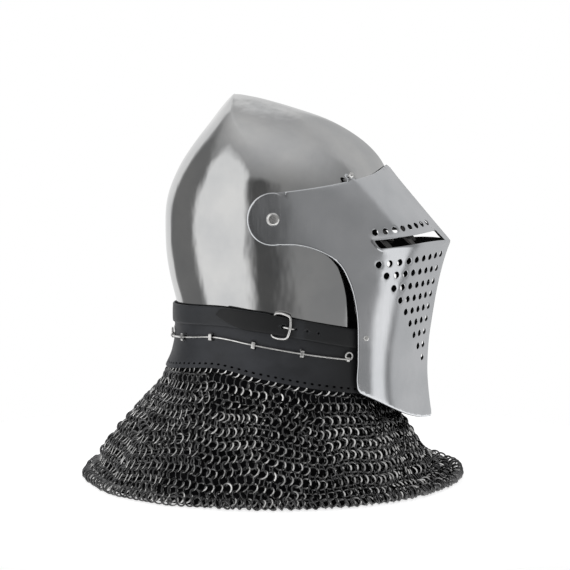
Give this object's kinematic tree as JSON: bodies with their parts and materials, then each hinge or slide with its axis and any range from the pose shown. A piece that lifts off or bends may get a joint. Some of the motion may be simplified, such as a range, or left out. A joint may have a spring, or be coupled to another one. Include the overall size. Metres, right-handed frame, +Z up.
{
  "type": "visored helmet",
  "caption": "Pointed medieval steel helmet with a pivoted, pierced visor, a buckled leather neck band and a spreading mail skirt.",
  "frame": {"origin": "the crown seat: where the top of the wearer's head comes inside the skull, 35 mm below the skull's point", "axes": "+Z up, -Y the way the face looks, +X the wearer's left"},
  "size_m": [0.392, 0.397, 0.3975],
  "materials": {
    "polished_steel": "polished",
    "bright_steel": "satin",
    "black_leather": "matte",
    "dark_mail": "oxidised"
  },
  "bodies": {
    "helmet": {"skull": "polished_steel", "pivot_rivet_right": "bright_steel", "pivot_rivet_left": "bright_steel", "leather_band": "black_leather", "strap": "black_leather", "buckle_frame": "bright_steel", "buckle_prong": "bright_steel", "vervelle_right_1": "bright_steel", "vervelle_right_2": "bright_steel", "vervelle_right_3": "bright_steel", "vervelle_right_4": "bright_steel", "vervelle_left_1": "bright_steel", "vervelle_left_2": "bright_steel", "vervelle_left_3": "bright_steel", "vervelle_left_4": "bright_steel", "wire_right": "bright_steel", "wire_left": "bright_steel", "aventail": "dark_mail"},
    "visor": {"visor": "polished_steel", "sight_bar_right_1": "polished_steel", "sight_bar_right_2": "polished_steel", "sight_bar_left_1": "polished_steel", "sight_bar_left_2": "polished_steel", "side_rivet_right": "bright_steel", "side_rivet_left": "bright_steel", "lifting_peg_right": "bright_steel", "lifting_peg_left": "bright_steel"}
  },
  "joints": [
    {"name": "visor_lift", "type": "hinge", "parent": "helmet", "child": "visor", "pos_m": [0, -0.01, -0.09], "axis": [-1, 0, 0], "range_deg": [0, 50]}
  ]
}
